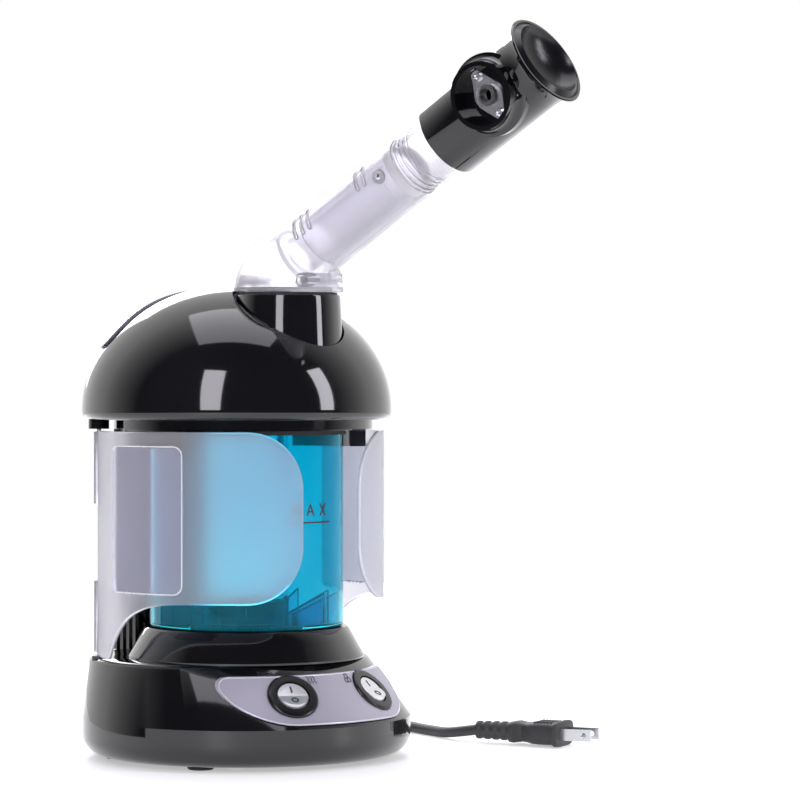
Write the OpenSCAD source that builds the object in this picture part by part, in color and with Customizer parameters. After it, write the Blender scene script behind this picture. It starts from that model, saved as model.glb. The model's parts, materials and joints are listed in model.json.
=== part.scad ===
// Tabletop facial steamer with a swivelling, telescopic steam arm.
// Millimetres. +Z up, origin on the base axis at the surface it stands on, controls towards -Y.
// "Bearing" is an angle round a vertical axis, 0 at the front (-Y) and positive towards +X.

/* [Base] */
// Radius of the round base
base_r = 88; // [84:0.5:106]
// Height of the rubber feet
foot_h = 2; // [1.5:0.5:4]
// Height of the base tray above the feet
tray_h = 13.5; // [12:0.5:17]
// Radius of the tray's rounded lower edge
tray_edge = 11; // [6:0.5:11.5]
// Height of the shell's upright band
band_h = 6.5; // [4:0.5:9]
// Height of the shell's sloping shoulder, up to the deck
shoulder_h = 31; // [26:0.5:37]
// Radius of the flat deck
deck_r = 76; // [72:0.5:84]
// How far back the deck's centre sits
deck_back = 14; // [8:0.5:14]
// Wall of the base and the dome
wall = 2.6; // [2:0.1:3.2]

/* [Switches] */
// Bearing of each switch from the front
switch_bearing = 19.5; // [16:0.5:24]
// Outer radius of the round switch bezel
bezel_r = 13.7; // [12:0.1:15]
// Radius of the ball-sided rocker
rocker_r = 8.5; // [7:0.1:9.5]
// Angle the rocker turns between off and on
rocker_travel = 16; // [10:1:20]

/* [Water tank] */
// Outer radius of the tank
tank_r = 52; // [48:0.5:56]
// Wall of the tank
tank_wall = 2.4; // [1.8:0.1:3]
// Height of the black cone the tank stands on
seat_h = 16.5; // [13:0.5:20]
// Height of the tank
tank_h = 104; // [88:1:124]
// Outer radius of the boiler cup
cup_r = 22; // [18:0.5:26]
// Number of radial fins round the boiler cup
fin_count = 12; // [8:1:16]

/* [Doors] */
// Outer radius of the curved doors
door_r = 77; // [74:0.5:79]
// Thickness of the doors
door_t = 2; // [1.6:0.1:2.6]
// Bearing of each door's front edge
door_front = 15; // [8:1:30]
// Bearing of each door's rear edge
door_rear = 120; // [112:1:124]
// Radius of the door's front corners
door_corner = 30; // [15:1:34]
// Radius of the steel hinge pins
pin_r = 1.2; // [1:0.1:1.6]

/* [Dome] */
// Radius of the dome
dome_r = 83; // [80:0.5:90]
// Height of the dome's curved shell
dome_h = 66.6; // [60:0.5:80]
// How far back the dome's centre sits
dome_back = 8; // [6:0.5:12]
// Thickness of the rear cover
cover_t = 1.3; // [1:0.1:2]

/* [Arm] */
// Distance of the swivel axis in front of the base axis
neck_front = 34.4; // [32:0.2:38]
// Radius of the clear elbow
elbow_r = 29; // [27:0.5:30]
// Bearing the arm points to at rest
arm_bearing = 11.2; // [-30:0.2:30]
// Angle of the arm above the horizontal
arm_rise = 31.3; // [25:0.1:40]
// Outer radius of the arm at the elbow
arm_r1 = 17.8; // [17:0.1:19]
// Outer radius of the arm at its mouth
arm_r2 = 16.5; // [16:0.1:17.4]
// Length of the arm's outer tube from the elbow
arm_l = 95; // [80:1:114]
// Wall of the clear arm
arm_wall = 1.9; // [1.6:0.1:2.1]
// Outer radius of the sliding tube
slide_r = 13.9; // [11.5:0.1:14]
// How far the sliding tube pulls out
slide_travel = 50; // [30:1:55]

/* [Steam head] */
// Outer radius of the head
head_r = 20.2; // [18.5:0.1:22]
// Length of the head up to its flared end
head_l = 63; // [56:1:74]
// Outer radius of the flared end
flare_r = 24.6; // [22:0.1:27]
// Length of the flare
flare_l = 8.4; // [5:0.2:12]
// Bore radius of the side port
port_r = 14.9; // [13:0.1:15.2]
// Distance from the arm's axis to the port's mouth
port_reach = 25; // [24:0.5:29]

/* [Mains cord] */
// Diameter of the cord
cord_d = 6; // [5:0.5:7]

/* [Hidden] */
$fn = 96;

gap = 0.4;              // free gap between parts that move past each other
running = 0.05;         // radial clearance of a pin or tube that turns or slides in its bore
cut = 0.5;              // overshoot of cutting tools
hull_fn = 72;           // sides of the round ends of a hull

tray_top = foot_h + tray_h;
band_top = tray_top + band_h;
deck_z = band_top + shoulder_h;
deck_edge = 4;
seat_top = deck_z + seat_h;
tank_top = seat_top + tank_h;
gasket_rise = 1.5;
collar_z = tank_top + gasket_rise;
collar_h = 5;
rim_z = collar_z + collar_h;
rim_h = 5.5;
dome_z = rim_z + rim_h;

// switches sit part way up the sloping shoulder
switch_rise = 0.555;
slope_top = deck_z - deck_edge;
switch_z = band_top + switch_rise * (slope_top - band_top);
switch_ring_r = base_r - switch_rise * (base_r - deck_r);
switch_ring_y = switch_rise * deck_back;
switch_lean = atan((base_r - deck_r + deck_back * cos(switch_bearing)) / (slope_top - band_top));
bezel_sink = 1.3;
bezel_rise = 2.4;
switch_bore_r = rocker_r + gap;
barrel_r = switch_bore_r + 1.2;
barrel_l = 17;
rocker_pivot = -0.5;
rocker_face = 2.4;

// screws and feet of the tray
screw_r = 1.5;
screw_head_r = 3.2;
foot_ring_r = base_r - 25;
post_r = 4.5;
pad_h = 4.5;

// rear column and the wires in it
column_half_w = 23;
column_front = 64;
column_back = column_front + 22;
column_mid_y = (column_front + column_back) / 2;
loom_r = 4;
rib = 1.2;

// tank
tank_floor = 2.5;

// dome
collar_r = tank_r + 17.2;
collar_back = 2.5;
neck_y = -neck_front;
neck_top = dome_z + 60.5;
neck_base = dome_z + 26;
neck_top_r = elbow_r - 1.6;
neck_base_r = elbow_r + 0.4;
spigot_r = elbow_r - 5;
spigot_wall = 2;
lip_r = spigot_r + 1.9;
lip_h = 3.6;
recess_r = neck_base_r + 0.1;
lip_top = neck_top - 10.6;
elbow_z = neck_top + 2.8;
elbow_bottom = neck_top + 1.6;

// arm: its axis starts above the elbow's centre
arm_z = elbow_z + 12.4;
bush_l = 6;
boss_r = 4;
tube_r = 10.5;
boss_seat = 3.8;
boss_spots = [[5.5, -24.8, 15], [-18.4, 14.5, 17.5]];
slide_tail = slide_travel + bush_l + 14;
collar_end = arm_l + 12;
head_start = arm_l + 25;
head_end = head_start + head_l;
head_wall = 2.2;
port_z = head_end - 21;
port_turn = 188.7;
port_wall = 2.3;
port_floor = port_reach - 9;
port_seat = port_reach - 4.7;
jet_r = 5.4;

// doors
door_back = 5;
door_top = collar_z - 1;
door_low = deck_z + 32;
door_foot = deck_z + gap + 0.6;
hinge_bearing = door_rear + 2.8;
hinge_ring_r = door_r - door_t / 2;
knuckle_r = pin_r + running + 1.4;

// cord: it leaves the base at the rear, is coiled behind it and ends in its plug
relief_bearing = 160;
relief_l = 30;
relief_z = tray_top + 7.5;
relief_wall_r = base_r;
relief_neck_r = 4.5;
cord_r = cord_d / 2;
coil_x = 107;
coil_y = 81;
coil_turns = 3;
coil_mid_r = 33;
tie_t = 0.8;
coil_z = tie_t;
coil_in_r = coil_mid_r - coil_turns * cord_r;
coil_out_r = coil_mid_r + coil_turns * cord_r;
lead_points = [[40, 111, 23], [46, 127, 20.5], [56, 139, 14], [69, 145, 7.5], [84, 144, 4.2],
    [98, 139, 4], [111, 130, 4], [123, 119, 4]];
tail_points = [[146, 84, 9.8], [146, 70, 10], [146, 56, 8], [145, 42, 5], [143, 28, 3.4],
    [140, 14, 3], [137, 0, 3], [134, -14, 3.4], [133, -27, 5], [134, -40, 7]];
plug_pos = [134, -40, 7];
plug_bearing = 23.5;

colour_black = "#111113";
colour_silver = "#b9b6c4";
colour_clear = [0.86, 0.85, 0.9, 0.35];
colour_frost = [0.85, 0.84, 0.9, 0.6];
colour_tank = [0.1, 0.65, 0.75, 0.5];
colour_steel = "#b8babd";
colour_cord = "#3a3a3c";

// ---------- shared shapes ----------

// points of an ellipse quarter or any arc, centre c
function arc(c, rx, ry, from, to, steps = 12) =
    [for (i = [0 : steps]) let (a = from + (to - from) * i / steps)
        [c[0] + rx * cos(a), c[1] + ry * sin(a)]];

// a point at a bearing round a vertical axis
function at_bearing(bearing, r, y0 = 0) = [r * sin(bearing), y0 - r * cos(bearing)];

module ring(outer, inner, h) {
    difference() {
        cylinder(r = outer, h = h);
        translate([0, 0, -cut]) cylinder(r = inner, h = h + 2 * cut);
    }
}

module mirrored() {
    children();
    mirror([1, 0, 0]) children();
}

// the base's outer form, drawn in by an inset
module base_form(inset = 0, bottom = tray_top) {
    top = deck_z - inset;
    hull() {
        translate([0, 0, bottom]) cylinder(r = base_r - inset, h = band_top - bottom, $fn = hull_fn);
        translate([0, deck_back, 0]) rotate_extrude($fn = hull_fn)
            polygon(concat([[0, top - deck_edge]],
                arc([deck_r - inset - deck_edge, top - deck_edge], deck_edge, deck_edge, 0, 90, 4),
                [[0, top]]));
    }
}

module switch_frame(side) {
    spot = at_bearing(side * switch_bearing, switch_ring_r, switch_ring_y);
    translate([spot[0], spot[1], switch_z])
        rotate([0, 0, side * switch_bearing])
            rotate([90 - switch_lean, 0, 0]) children();
}

module at_posts() {
    for (a = [45 : 90 : 315]) rotate([0, 0, a]) translate([foot_ring_r, 0, 0]) children();
}

module neck_frame() {
    translate([0, neck_y, 0]) children();
}

module arm_frame() {
    translate([0, neck_y, arm_z])
        rotate([0, 0, arm_bearing])
            rotate([90 - arm_rise, 0, 0]) children();
}

module port_frame() {
    arm_frame() translate([0, 0, port_z]) rotate([0, 0, port_turn]) rotate([0, 90, 0]) children();
}

module hinge_spot(side, z = 0) {
    spot = at_bearing(side * hinge_bearing, hinge_ring_r, door_back);
    translate([spot[0], spot[1], z]) children();
}

module screw(head_h, shank_l, head_r = screw_head_r, shank_r = screw_r) {
    difference() {
        cylinder(r = head_r, h = head_h);
        for (a = [0, 90]) rotate([0, 0, a])
            translate([-head_r * 0.6, -0.4, -cut]) cube([head_r * 1.2, 0.8, cut + head_h * 0.5]);
    }
    translate([0, 0, head_h]) cylinder(r = shank_r, h = shank_l);
}

// ---------- base ----------

module base_tray() {
    floor_top = foot_h + wall;
    color(colour_black) difference() {
        union() {
            rotate_extrude() polygon(concat([[0, foot_h]],
                arc([base_r - tray_edge, foot_h + tray_edge], tray_edge, tray_edge, -90, 0, 8),
                [[base_r, tray_top], [base_r - wall, tray_top]],
                arc([base_r - tray_edge, foot_h + tray_edge],
                    tray_edge - wall, tray_edge - wall, 0, -90, 6),
                [[0, floor_top]]));
            at_posts() translate([0, 0, foot_h]) cylinder(r = post_r + 1.5, h = pad_h);
            for (x = [-20, 20], y = [32, 60]) translate([x, y, foot_h]) cylinder(r = 3, h = 12);
        }
        at_posts() {
            translate([0, 0, foot_h - cut]) cylinder(r = screw_head_r + 0.3, h = cut + 2.4);
            translate([0, 0, foot_h]) cylinder(r = screw_r + 0.2, h = pad_h + cut);
        }
        for (i = [-3 : 3]) translate([i * 7 - 1.2, -25, foot_h - cut])
            cube([2.4, 34, wall + 2 * cut]);
    }
}

module base_shell() {
    color(colour_black) difference() {
        union() {
            difference() {
                base_form();
                base_form(wall, tray_top - cut);
            }
            intersection() {
                at_posts() translate([0, 0, foot_h + pad_h])
                    cylinder(r = post_r, h = deck_z - foot_h - pad_h);
                base_form(wall / 2, foot_h);
            }
            for (side = [-1, 1]) hinge_spot(side, deck_z - wall) cylinder(r = 4, h = wall + 1);
        }
        at_posts() translate([0, 0, foot_h + pad_h - cut]) cylinder(r = screw_r, h = 14 + cut);
        for (side = [-1, 1]) {
            switch_frame(side) {
                translate([0, 0, -bezel_sink]) cylinder(r = bezel_r, h = bezel_rise + 6);
                translate([0, 0, -barrel_l]) cylinder(r = barrel_r, h = barrel_l + 6);
            }
            hinge_spot(side, deck_z - 10) cylinder(r = pin_r, h = 20);
        }
        translate([0, 0, deck_z - 2 * wall]) cylinder(r = cup_r + 8, h = 3 * wall);
        translate([0, column_mid_y, deck_z - 2 * wall]) cylinder(r = loom_r + 1, h = 3 * wall);
        relief_frame() translate([0, 0, -12]) cylinder(r = relief_neck_r, h = 20);
    }
}

module rubber_feet() {
    color("#262626") for (a = [30, 150, 210, 330]) rotate([0, 0, a])
        translate([base_r - tray_edge - 8, 0, 0]) rotate_extrude()
            polygon([[0, 0], [6.2, 0], [7, 0.8], [7, foot_h], [0, foot_h]]);
}

module base_screws() {
    color(colour_steel) at_posts() translate([0, 0, foot_h + 0.6]) screw(1.8, 15);
}

module control_panel() {
    z_low = band_top + 2;
    z_high = deck_z - deck_edge - 1;
    half_w = base_r * 0.66;
    top_round = 7;
    low_w = 26;
    low_h = z_high - z_low - top_round;
    right = concat(arc([half_w - low_w, z_low + low_h], low_w, low_h, -90, 0, 8),
        arc([half_w - top_round, z_high - top_round], top_round, top_round, 0, 90, 4));
    left = [for (i = [len(right) - 1 : -1 : 0]) [-right[i][0], right[i][1]]];
    color(colour_silver) difference() {
        intersection() {
            difference() {
                base_form(-0.9);
                base_form();
            }
            rotate([90, 0, 0]) linear_extrude(base_r + 10) polygon(concat(right, left));
        }
        for (side = [-1, 1]) switch_frame(side)
            translate([0, 0, -bezel_sink]) cylinder(r = bezel_r, h = bezel_rise + 6);
    }
}

module switch_housing(side) {
    color(colour_black) switch_frame(side) difference() {
        union() {
            rotate_extrude() polygon(concat([[0, -bezel_sink], [bezel_r, -bezel_sink]],
                arc([bezel_r - 1.4, bezel_rise - 1.4], 1.4, 1.4, 0, 90, 4),
                [[0, bezel_rise]]));
            translate([0, 0, -barrel_l]) cylinder(r = barrel_r, h = barrel_l);
        }
        translate([0, 0, -10]) cylinder(r = switch_bore_r, h = 20);
        translate([0, 0, rocker_pivot]) rotate([0, 90, 0])
            cylinder(r = pin_r + running, h = 2 * (switch_bore_r + 2.4), center = true);
    }
}

module steam_switch_housing() {
    switch_housing(-1);
}

module ozone_switch_housing() {
    switch_housing(1);
}

// a ball-sided rocker with a shallow V face, tipped to one side of its travel
module rocker(side) {
    half = rocker_travel / 2;
    color("#d9dade") switch_frame(side) translate([0, 0, rocker_pivot]) rotate([-half, 0, 0])
        difference() {
            union() {
                intersection() {
                    sphere(r = rocker_r);
                    translate([-rocker_r, -rocker_r, -5])
                        cube([2 * rocker_r, 2 * rocker_r, 5 + rocker_r]);
                }
                rotate([0, 90, 0]) cylinder(r = pin_r, h = 2 * (barrel_r - 0.3), center = true);
            }
            for (turn = [0, 180]) rotate([0, 0, turn]) translate([0, 0, rocker_face]) rotate([half, 0, 0])
                translate([-20, 0, 0]) cube([40, 20, 20]);
        }
}

module steam_rocker() {
    rocker(-1);
}

module ozone_rocker() {
    rocker(1);
}

module switch_terminals() {
    color("#c9a75a") for (side = [-1, 1], y = [-5, 0, 5]) switch_frame(side)
        translate([-2.4, y - 0.4, -barrel_l - 7]) cube([4.8, 0.8, 7]);
}

module power_board() {
    color("#2f6b3a") translate([-27, 26, foot_h + 12]) cube([54, 40, 1.6]);
}

module board_parts() {
    top = foot_h + 13.6;
    color("#2a3a66") {
        translate([-22, 30, top]) cube([19, 15, 13]);
        translate([4, 30, top]) cube([14, 8, 9]);
        translate([10, 52, top]) cylinder(r = 6, h = 14);
        translate([-14, 54, top]) cylinder(r = 4, h = 9);
    }
}

module ozone_transformer() {
    color("#5a5348") translate([-62, 2, foot_h + wall]) {
        cube([24, 30, 17]);
        translate([3, 6, 17]) cube([18, 18, 4]);
    }
}

// ---------- boiler and tank ----------

module heater_plate() {
    color("#9a9ca0") translate([0, 0, seat_top - 38.5]) difference() {
        cylinder(r = cup_r - 4, h = 5);
        for (x = [-8, 8]) translate([x, -11, -cut]) cylinder(r = 1.6, h = 3);
    }
}

module thermostat() {
    color("#d8d5cc") translate([0, 2, seat_top - 43.5]) cylinder(r = 7, h = 5);
}

module thermal_fuse() {
    color("#e4e0d6") translate([9, 12, seat_top - 40.5]) rotate([0, 90, 120])
        cylinder(r = 2, h = 10, center = true);
}

module boiler_cup() {
    color("#3c3e42") translate([0, 0, seat_top - 33.5]) difference() {
        cylinder(r = cup_r, h = 48);
        translate([0, 0, 3]) cylinder(r = cup_r - 2, h = 46);
        for (a = [0 : 45 : 315]) rotate([0, 0, a]) translate([cup_r - 4, -2, 38])
            cube([6, 4, 6]);
    }
}

module boiler_gasket() {
    color("#c9ccd0") translate([0, 0, seat_top]) ring(cup_r + 3, cup_r, tank_floor);
}

module tank_seat() {
    color(colour_black) rotate_extrude() polygon([[tank_r + 11, deck_z], [tank_r + 11, deck_z + 1],
        [tank_r + 3, seat_top - 1], [tank_r + 2, seat_top], [cup_r + 4, seat_top],
        [cup_r + 4, seat_top - wall], [tank_r, seat_top - wall], [tank_r + 8, deck_z]]);
}

module water_tank() {
    color(colour_tank) rotate_extrude() polygon(concat([[cup_r + 3, seat_top]],
        arc([tank_r - 2, seat_top + 2], 2, 2, -90, 0, 4),
        [[tank_r, tank_top], [tank_r - tank_wall, tank_top],
         [tank_r - tank_wall, seat_top + tank_floor], [cup_r + 3, seat_top + tank_floor]]));
}

module tank_fins() {
    fin_end = tank_r - tank_wall - 0.2;
    fin_low = seat_top + tank_floor;
    color(colour_tank) {
        translate([0, 0, fin_low]) ring(cup_r + 3, cup_r + 1, 4);
        for (i = [0 : fin_count - 1]) rotate([0, 0, (i + 0.5) * 360 / fin_count]) rotate([90, 0, 0])
            linear_extrude(2, center = true) polygon([[cup_r + 2, fin_low], [fin_end, fin_low],
                [fin_end, fin_low + 16], [cup_r + 2, fin_low + 4]]);
    }
}

module tank_gasket() {
    color("#1b1b1d") difference() {
        translate([0, 0, tank_top - 1.5]) ring(tank_r + 1.4, tank_r - tank_wall - 1.4, gasket_rise + 1.5);
        translate([0, 0, tank_top - 2]) ring(tank_r, tank_r - tank_wall, 2);
    }
}

module tank_retainers() {
    low = collar_z - 10;
    color(colour_black) mirrored() difference() {
        rotate([0, 0, -22]) rotate_extrude(angle = 46)
            polygon([[tank_r + 7, low], [tank_r + 16, low], [tank_r + 16, collar_z],
                [tank_r + 7, collar_z]]);
        translate([0, -30, low - 8]) rotate([-8, 0, 0]) cube([tank_r + 40, 60, 8]);
    }
}

module rear_column() {
    width = 2 * column_half_w;
    depth = column_back - column_front;
    height = rim_z - deck_z;
    color(colour_black) difference() {
        union() {
            translate([-column_half_w, column_front, deck_z]) cube([width, depth, height]);
            mirrored() for (i = [0 : 3])
                translate([column_half_w, column_front + 1.5 + i * depth / 4, deck_z])
                    cube([rib, 2 * rib, height]);
            for (i = [-3 : 3], y = [column_front - rib, column_back])
                translate([i * 6 - rib, y, deck_z]) cube([2 * rib, rib, height]);
        }
        translate([wall - column_half_w, column_front + wall, deck_z - cut])
            cube([width - 2 * wall, depth - 2 * wall, height + 2 * cut]);
    }
}

module wire_loom() {
    color("#202022") translate([0, column_mid_y, deck_z - 14])
        cylinder(r = loom_r, h = rim_z + wall + 6 - deck_z + 14);
}

// ---------- dome ----------

module dome_frame() {
    translate([0, dome_back, 0]) children();
}

// the solid half ellipsoid inside the dome's outer surface, moved in by an inset
module dome_form(inset = 0, bottom = dome_z) {
    dome_frame() rotate_extrude() polygon(concat([[0, bottom], [dome_r - inset, bottom]],
        arc([0, dome_z], dome_r - inset, dome_h - inset, 2, 88, 24),
        [[0, dome_z + dome_h - inset]]));
}

module dome_base() {
    edge = 4;
    color(colour_black) difference() {
        union() {
            dome_frame() rotate_extrude() polygon(concat([[0, rim_z]],
                arc([dome_r - edge, rim_z + edge], edge, edge, -90, 0, 6),
                [[dome_r, dome_z], [dome_r - wall, dome_z], [dome_r - wall, rim_z + wall],
                 [0, rim_z + wall]]));
            translate([0, collar_back, collar_z]) cylinder(r = collar_r, h = collar_h);
            translate([0, 0, collar_z - 0.7]) ring(tank_r + 5, tank_r + 2, collar_h);
            for (side = [-1, 1]) hinge_spot(side, collar_z) cylinder(r = 5.5, h = collar_h);
            at_dome_screws() translate([0, 0, rim_z]) cylinder(r = 6, h = wall + 2);
        }
        translate([0, 0, collar_z - cut]) cylinder(r = tank_r - tank_wall - 3, h = 3 * collar_h);
        for (side = [-1, 1]) hinge_spot(side, collar_z - cut) cylinder(r = pin_r, h = collar_h + cut);
        at_dome_screws() {
            translate([0, 0, rim_z - cut]) cylinder(r = screw_head_r + 0.3, h = 2.4 + cut);
            translate([0, 0, rim_z]) cylinder(r = screw_r + 0.2, h = 10);
        }
        translate([0, column_mid_y, rim_z - cut]) cylinder(r = loom_r, h = wall + 2 * cut);
        translate([-column_half_w - rib, column_front - rib, collar_z - cut])
            cube([2 * (column_half_w + rib), column_back - column_front + 2 * rib, collar_h + cut]);
    }
}

module at_dome_screws() {
    dome_frame() for (a = [35, 145, 215, 325]) rotate([0, 0, a])
        translate([dome_r - 9.6, 0, 0]) children();
}

module dome_shell() {
    color(colour_black) difference() {
        union() {
            difference() {
                dome_form();
                dome_form(wall, dome_z - cut);
            }
            intersection() {
                union() {
                    neck_frame() translate([0, 0, neck_base]) cylinder(r = recess_r + 2.2, h = 60);
                    at_dome_screws() translate([0, 0, dome_z]) cylinder(r = post_r, h = 40);
                }
                dome_form(wall / 2, dome_z - cut);
            }
        }
        neck_frame() translate([0, 0, neck_base - 20]) cylinder(r = recess_r, h = 100);
        at_dome_screws() translate([0, 0, dome_z - cut]) cylinder(r = screw_r, h = 12);
    }
}

module dome_rear_cover() {
    low = dome_z + 33;
    front = dome_back + 26;
    corner = 12;
    color(colour_silver) intersection() {
        difference() {
            dome_form(-cover_t);
            dome_form();
        }
        rotate([90, 0, 90]) linear_extrude(3 * dome_r, center = true) union() {
            translate([front + corner, low]) square([2 * dome_r, dome_h]);
            translate([front, low + corner]) square([2 * dome_r, dome_h]);
            translate([front + corner, low + corner]) circle(r = corner);
        }
    }
}

module dome_screws() {
    color(colour_steel) at_dome_screws() translate([0, 0, rim_z + 0.6]) screw(1.8, 13);
}

module ozone_lamp() {
    color([0.9, 0.9, 1, 0.5]) translate([0, 60, dome_z + 22]) rotate([0, 90, 0])
        rotate_extrude() polygon(concat([[0, -20]], [[6, -20], [6, 14]],
            arc([0, 14], 6, 6, 0, 90, 6)));
}

module lamp_holder() {
    low = rim_z + wall;
    rest = dome_z + 22 - 6;
    color("#e8e6e0") {
        for (x = [-19, 5]) translate([x, 54, low]) cube([8, 12, rest - low]);
    }
}

module steam_funnel() {
    mouth = tank_r - tank_wall - 3;
    low = rim_z + wall;
    high = neck_base - 8;
    color("#d7d8da") difference() {
        hull() {
            translate([0, 0, low]) cylinder(r = mouth + 2, h = 1, $fn = 48);
            neck_frame() translate([0, 0, high - 1]) cylinder(r = neck_base_r, h = 1, $fn = 48);
        }
        hull() {
            translate([0, 0, low - cut]) cylinder(r = mouth, h = 1, $fn = 48);
            neck_frame() translate([0, 0, high]) cylinder(r = lip_r + gap + 0.2, h = 1, $fn = 48);
        }
    }
}

module neck_ring() {
    color(colour_black) neck_frame() difference() {
        rotate_extrude() polygon(concat([[0, neck_base - 8], [neck_base_r, neck_base - 8],
            [neck_base_r, neck_base]],
            arc([neck_top_r - 1.2, neck_top - 1.2], 1.2, 1.2, 0, 90, 4), [[0, neck_top]]));
        translate([0, 0, neck_base - 9]) cylinder(r = spigot_r + running, h = 60);
        translate([0, 0, neck_base - 9]) cylinder(r = lip_r + gap + 0.2, h = lip_top + gap - neck_base + 9);
        translate([0, 0, neck_top - 1]) ring(spigot_r + 1.8, spigot_r + 0.4, 5);
    }
}

module neck_seal() {
    color("#2b2b2e") neck_frame() translate([0, 0, neck_top - 1]) ring(spigot_r + 1.8, spigot_r + 0.5, 2);
}

// ---------- doors ----------

// the quarter-round rise of an edge, s along the edge from its end
function round_off(s, r) = s >= r ? 0 : r - sqrt(r * r - (r - s) * (r - s));

// the door's lower edge sweeps down into a narrow tail at the hinge
function door_sweep(bearing) =
    let (f = max(0, min(1, (bearing - 50) / 55)))
    door_low - (door_low - door_foot) * pow(f, 4);

module door_panel() {
    steps = 40;
    mm_per_degree = door_r * PI / 180;
    inner = door_r - door_t;
    bearings = [for (i = [0 : steps])
        door_front + (door_rear - door_front) * (1 - cos(90 * i / steps))];
    columns = [for (b = bearings)
        let (s = (b - door_front) * mm_per_degree, e = (door_rear - b) * mm_per_degree,
            low = door_sweep(b) + round_off(s, door_corner) + round_off(e, 4),
            high = door_top - round_off(s, door_corner))
        [for (p = [[door_r, low], [inner, low], [inner, max(high, low + 0.2)],
                   [door_r, max(high, low + 0.2)]])
            [p[0] * sin(b), door_back - p[0] * cos(b), p[1]]]];
    points = [for (c = columns, p = c) p];
    last = 4 * steps;
    sides = [for (i = [0 : steps - 1], j = [0 : 3])
        let (a = 4 * i + j, b = 4 * i + (j + 1) % 4)
        each [[a, a + 4, b + 4], [a, b + 4, b]]];
    polyhedron(points, concat([[0, 1, 2, 3]], sides,
        [[last + 3, last + 2, last + 1, last]]), convexity = 6);
}

module right_door_form() {
    knuckles = [[door_foot + 2, 38], [door_top - 39, 38.5]];
    difference() {
        union() {
            door_panel();
            for (k = knuckles) {
                hinge_spot(1, k[0]) cylinder(r = knuckle_r, h = k[1]);
                translate([0, door_back, k[0]])
                    rotate([0, 0, door_rear - 92]) rotate_extrude(angle = hinge_bearing - door_rear + 1)
                        polygon([[door_r - door_t + 0.4, 0], [door_r - 0.4, 0],
                            [door_r - 0.4, k[1]], [door_r - door_t + 0.4, k[1]]]);
            }
        }
        hinge_spot(1, deck_z) cylinder(r = pin_r + running, h = 20);
        hinge_spot(1, door_top - 18) cylinder(r = pin_r + running, h = 20);
    }
}

module right_door() {
    color(colour_frost) right_door_form();
}

module left_door() {
    color(colour_frost) mirror([1, 0, 0]) right_door_form();
}

module hinge_pins() {
    color(colour_steel) for (side = [-1, 1]) {
        hinge_spot(side, deck_z - 8) cylinder(r = pin_r, h = 26);
        hinge_spot(side, door_top - 16) cylinder(r = pin_r, h = rim_z - door_top + 16);
    }
}

// ---------- arm ----------

function arm_r_at(l) = arm_r1 + (arm_r2 - arm_r1) * l / arm_l;

module arm_form() {
    difference() {
        union() {
            neck_frame() {
                intersection() {
                    translate([0, 0, elbow_z]) sphere(r = elbow_r);
                    translate([0, 0, elbow_bottom]) cylinder(r = elbow_r + 1, h = 2 * elbow_r);
                }
                translate([0, 0, lip_top - lip_h]) cylinder(r = spigot_r, h = elbow_z - lip_top + lip_h);
                translate([0, 0, lip_top - lip_h]) cylinder(r = lip_r, h = lip_h);
            }
            arm_frame() cylinder(r1 = arm_r1, r2 = arm_r2, h = arm_l);
            arm_bosses();
        }
        difference() {
            union() {
                neck_frame() {
                    intersection() {
                        translate([0, 0, elbow_z]) sphere(r = elbow_r - arm_wall);
                        translate([0, 0, elbow_bottom + arm_wall])
                            cylinder(r = elbow_r, h = 2 * elbow_r);
                    }
                    translate([0, 0, lip_top - 20])
                        cylinder(r = spigot_r - spigot_wall, h = elbow_z - lip_top + 20);
                }
                arm_frame() translate([0, 0, 4])
                    cylinder(r1 = arm_r_at(4) - arm_wall, r2 = arm_r2 - arm_wall, h = arm_l - 4 + cut);
            }
            arm_bosses();
        }
        arm_frame() {
            for (spot = boss_spots) translate([0, spot[0], spot[1]]) rotate([0, 90, 0])
                cylinder(r = 1.1, h = 80, center = true);
            for (spot = boss_spots) translate([boss_seat - spot[2], spot[0], spot[1]])
                rotate([0, -90, 0]) cylinder(r = 2.5, h = 40);
            arm_vents();
        }
    }
}

// posts for the arm's screws, kept clear of the hole the elbow turns in
module arm_bosses() {
    intersection() {
        arm_frame() for (spot = boss_spots) translate([0, spot[0], spot[1]]) rotate([0, 90, 0])
            cylinder(r = boss_r, h = 2 * spot[2], center = true);
        neck_frame() translate([0, 0, lip_top]) cylinder(r = elbow_r - 0.5, h = 3 * elbow_r);
    }
}

// short slots round the upper side of the arm, one row near each end
module arm_vents() {
    for (l = [22, 27, 32, 68, 73]) translate([0, 0, l]) rotate([0, 0, 125])
        rotate_extrude(angle = 50) polygon([[arm_r2 - arm_wall - 1.5, 0], [arm_r1 + 2, 0],
            [arm_r1 + 2, 1.8], [arm_r2 - arm_wall - 1.5, 1.8]]);
}

module arm_half(side) {
    intersection() {
        arm_form();
        arm_frame() translate([side > 0 ? 0 : -60, -150, -150]) cube([60, 300, 400]);
    }
}

module arm_left_half() {
    color(colour_clear) arm_half(-1);
}

module arm_right_half() {
    color(colour_clear) arm_half(1);
}

module arm_screws() {
    color(colour_steel) arm_frame() for (spot = boss_spots)
        translate([boss_seat - spot[2], spot[0], spot[1]]) rotate([0, 90, 0]) {
            translate([0, 0, -1.4]) cylinder(r = 2.3, h = 1.4);
            cylinder(r = 1.1, h = 2 * (spot[2] - boss_seat));
        }
}

module steam_tube() {
    color("#dfe1e6") arm_frame() translate([0, 0, 8]) {
        ring(tube_r, tube_r - 1.3, arm_l - 22);
        ring(arm_r_at(12) - arm_wall - 0.2, tube_r - 0.2, 3);
    }
}

module arm_bush() {
    color("#d9dade") arm_frame() translate([0, 0, arm_l - bush_l])
        ring(arm_r2 - arm_wall, slide_r + running, bush_l);
}

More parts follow.
